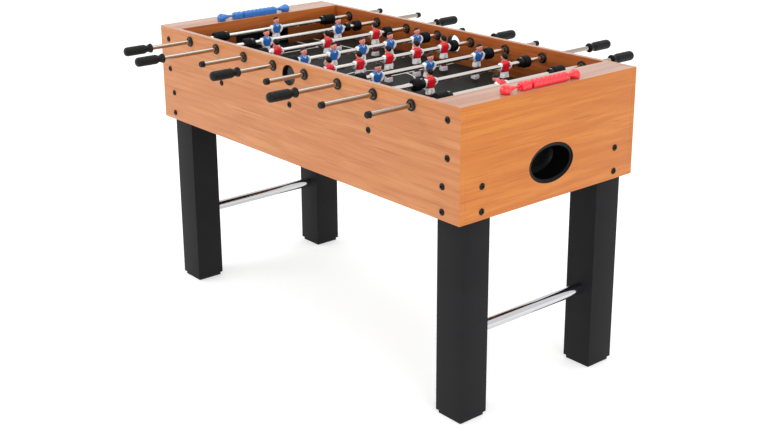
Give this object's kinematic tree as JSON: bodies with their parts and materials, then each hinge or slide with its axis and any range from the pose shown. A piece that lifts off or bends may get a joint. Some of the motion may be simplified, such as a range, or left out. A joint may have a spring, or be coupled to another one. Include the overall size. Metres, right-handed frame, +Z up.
{
  "type": "foosball table",
  "caption": "Table football game: a wood-grain cabinet on square black legs, with sliding and turning chrome rods that carry blue and red plastic men.",
  "frame": {"origin": "on the floor, under the middle of the table with its rods at rest", "axes": "+X along the table's length, from the blue goal end to the red goal end; +Y across it, towards the side where the red team's handles are; +Z up"},
  "size_m": [1.3278, 1.146, 0.843],
  "materials": {
    "side_laminate": "satin printed wood-grain laminate, warm orange-tan",
    "end_laminate": "satin printed wood-grain laminate, warm orange",
    "goal_laminate": "satin printed wood-grain laminate, warm orange-brown",
    "ledge_laminate": "semi-gloss printed wood-grain laminate",
    "playfield_board": "dark charcoal printed board with white lines",
    "raw_timber": "bare softwood",
    "tray_plastic": "matte black plastic sheet",
    "cup_plastic": "black moulded plastic",
    "leg_black": "matte black foil on timber",
    "foot_rubber": "black rubber",
    "tube_chrome": "bright chrome tube",
    "black_steel": "black oxide steel",
    "bearing_black": "black nylon",
    "sleeve_grey": "grey nylon",
    "counter_blue": "glossy blue plastic",
    "counter_red": "glossy red plastic",
    "rod_chrome": "bright chrome tube",
    "men_blue": "painted plastic figure, blue vest",
    "men_red": "painted plastic figure, red vest",
    "bumper_rubber": "black rubber, ribbed",
    "grip_black": "black moulded plastic, ribbed"
  },
  "bodies": {
    "cabinet": {"near_side_panel": "side_laminate", "far_side_panel": "side_laminate", "left_end_panel": "end_laminate", "right_end_panel": "end_laminate", "left_goal_wall": "goal_laminate", "right_goal_wall": "goal_laminate", "left_ledge": "ledge_laminate", "right_ledge": "ledge_laminate", "playfield": "playfield_board", "inner_cleats": "raw_timber", "ball_trays": "tray_plastic", "return_cups": "cup_plastic", "ball_entry_liners": "cup_plastic", "left_near_leg": "leg_black", "left_far_leg": "leg_black", "right_near_leg": "leg_black", "right_far_leg": "leg_black", "leg_feet": "foot_rubber", "stretchers": "tube_chrome", "bolts": "black_steel", "bearing_housings": "bearing_black", "bearing_sleeves": "sleeve_grey", "left_counter_rail": "counter_blue", "right_counter_rail": "counter_red"},
    "left_scored_bead_group": {"left_scored_beads": "counter_blue"},
    "left_waiting_bead_group": {"left_waiting_beads": "counter_blue"},
    "right_scored_bead_group": {"right_scored_beads": "counter_red"},
    "right_waiting_bead_group": {"right_waiting_beads": "counter_red"},
    "rod_1_carriage": {"rod_1_bumpers": "bumper_rubber"},
    "rod_1": {"rod_1_shaft": "rod_chrome", "rod_1_men": "men_blue", "rod_1_fittings": "grip_black"},
    "rod_2_carriage": {"rod_2_bumpers": "bumper_rubber"},
    "rod_2": {"rod_2_shaft": "rod_chrome", "rod_2_men": "men_blue", "rod_2_fittings": "grip_black"},
    "rod_3_carriage": {"rod_3_bumpers": "bumper_rubber"},
    "rod_3": {"rod_3_shaft": "rod_chrome", "rod_3_men": "men_red", "rod_3_fittings": "grip_black"},
    "rod_4_carriage": {"rod_4_bumpers": "bumper_rubber"},
    "rod_4": {"rod_4_shaft": "rod_chrome", "rod_4_men": "men_blue", "rod_4_fittings": "grip_black"},
    "rod_5_carriage": {"rod_5_bumpers": "bumper_rubber"},
    "rod_5": {"rod_5_shaft": "rod_chrome", "rod_5_men": "men_red", "rod_5_fittings": "grip_black"},
    "rod_6_carriage": {"rod_6_bumpers": "bumper_rubber"},
    "rod_6": {"rod_6_shaft": "rod_chrome", "rod_6_men": "men_blue", "rod_6_fittings": "grip_black"},
    "rod_7_carriage": {"rod_7_bumpers": "bumper_rubber"},
    "rod_7": {"rod_7_shaft": "rod_chrome", "rod_7_men": "men_red", "rod_7_fittings": "grip_black"},
    "rod_8_carriage": {"rod_8_bumpers": "bumper_rubber"},
    "rod_8": {"rod_8_shaft": "rod_chrome", "rod_8_men": "men_red", "rod_8_fittings": "grip_black"}
  },
  "joints": [
    {"name": "left_scored_beads_slide", "type": "slide", "parent": "cabinet", "child": "left_scored_bead_group", "axis": [0, 1, 0], "range_m": [-0.0182, 0.0019]},
    {"name": "left_waiting_beads_slide", "type": "slide", "parent": "cabinet", "child": "left_waiting_bead_group", "axis": [0, 1, 0], "range_m": [-0.0019, 0.0128]},
    {"name": "right_scored_beads_slide", "type": "slide", "parent": "cabinet", "child": "right_scored_bead_group", "axis": [0, 1, 0], "range_m": [-0.0232, 0.0039]},
    {"name": "right_waiting_beads_slide", "type": "slide", "parent": "cabinet", "child": "right_waiting_bead_group", "axis": [0, 1, 0], "range_m": [-0.0039, 0.0038]},
    {"name": "rod_1_slide", "type": "slide", "parent": "cabinet", "child": "rod_1_carriage", "axis": [0, 1, 0], "range_m": [-0.0625, 0.0635]},
    {"name": "rod_1_spin", "type": "hinge", "parent": "rod_1_carriage", "child": "rod_1", "pos_m": [-0.4921, 0, 0.794], "axis": [0, 1, 0], "continuous": true},
    {"name": "rod_2_slide", "type": "slide", "parent": "cabinet", "child": "rod_2_carriage", "axis": [0, 1, 0], "range_m": [-0.0775, 0.0695]},
    {"name": "rod_2_spin", "type": "hinge", "parent": "rod_2_carriage", "child": "rod_2", "pos_m": [-0.3515, 0, 0.794], "axis": [0, 1, 0], "continuous": true},
    {"name": "rod_3_slide", "type": "slide", "parent": "cabinet", "child": "rod_3_carriage", "axis": [0, 1, 0], "range_m": [-0.0365, 0.0635]},
    {"name": "rod_3_spin", "type": "hinge", "parent": "rod_3_carriage", "child": "rod_3", "pos_m": [-0.2109, 0, 0.794], "axis": [0, 1, 0], "continuous": true},
    {"name": "rod_4_slide", "type": "slide", "parent": "cabinet", "child": "rod_4_carriage", "axis": [0, 1, 0], "range_m": [-0.0365, 0.0365]},
    {"name": "rod_4_spin", "type": "hinge", "parent": "rod_4_carriage", "child": "rod_4", "pos_m": [-0.0703, 0, 0.794], "axis": [0, 1, 0], "continuous": true},
    {"name": "rod_5_slide", "type": "slide", "parent": "cabinet", "child": "rod_5_carriage", "axis": [0, 1, 0], "range_m": [-0.0175, 0.0555]},
    {"name": "rod_5_spin", "type": "hinge", "parent": "rod_5_carriage", "child": "rod_5", "pos_m": [0.0703, 0, 0.794], "axis": [0, 1, 0], "continuous": true},
    {"name": "rod_6_slide", "type": "slide", "parent": "cabinet", "child": "rod_6_carriage", "axis": [0, 1, 0], "range_m": [-0.0445, 0.0535]},
    {"name": "rod_6_spin", "type": "hinge", "parent": "rod_6_carriage", "child": "rod_6", "pos_m": [0.2109, 0, 0.794], "axis": [0, 1, 0], "continuous": true},
    {"name": "rod_7_slide", "type": "slide", "parent": "cabinet", "child": "rod_7_carriage", "axis": [0, 1, 0], "range_m": [-0.1105, 0.0535]},
    {"name": "rod_7_spin", "type": "hinge", "parent": "rod_7_carriage", "child": "rod_7", "pos_m": [0.3515, 0, 0.794], "axis": [0, 1, 0], "continuous": true},
    {"name": "rod_8_slide", "type": "slide", "parent": "cabinet", "child": "rod_8_carriage", "axis": [0, 1, 0], "range_m": [-0.0565, 0.0735]},
    {"name": "rod_8_spin", "type": "hinge", "parent": "rod_8_carriage", "child": "rod_8", "pos_m": [0.4921, 0, 0.794], "axis": [0, 1, 0], "continuous": true}
  ]
}
